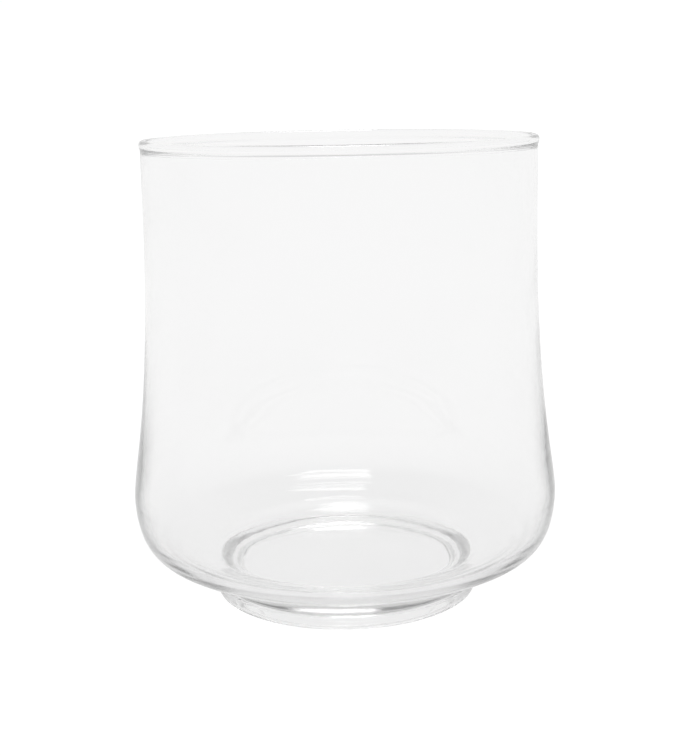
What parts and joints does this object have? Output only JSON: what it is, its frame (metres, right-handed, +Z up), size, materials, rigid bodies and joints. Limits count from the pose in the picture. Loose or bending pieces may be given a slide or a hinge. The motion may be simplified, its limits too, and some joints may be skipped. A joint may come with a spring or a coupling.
{
  "type": "vase",
  "caption": "Clear glass cylinder vase, slightly waisted and flaring to a rounded shoulder, with a beaded rim and a short round foot.",
  "frame": {"origin": "centre of the foot's underside, on the surface that the vase stands on", "axes": "+Z up along the vase's axis; +X and +Y are across it, and every direction across is alike"},
  "size_m": [0.1648, 0.1648, 0.1775],
  "materials": {
    "clear_glass": "clear, fire-polished, glossy"
  },
  "bodies": {
    "root": {"bowl": "clear_glass", "foot": "clear_glass"}
  },
  "joints": []
}
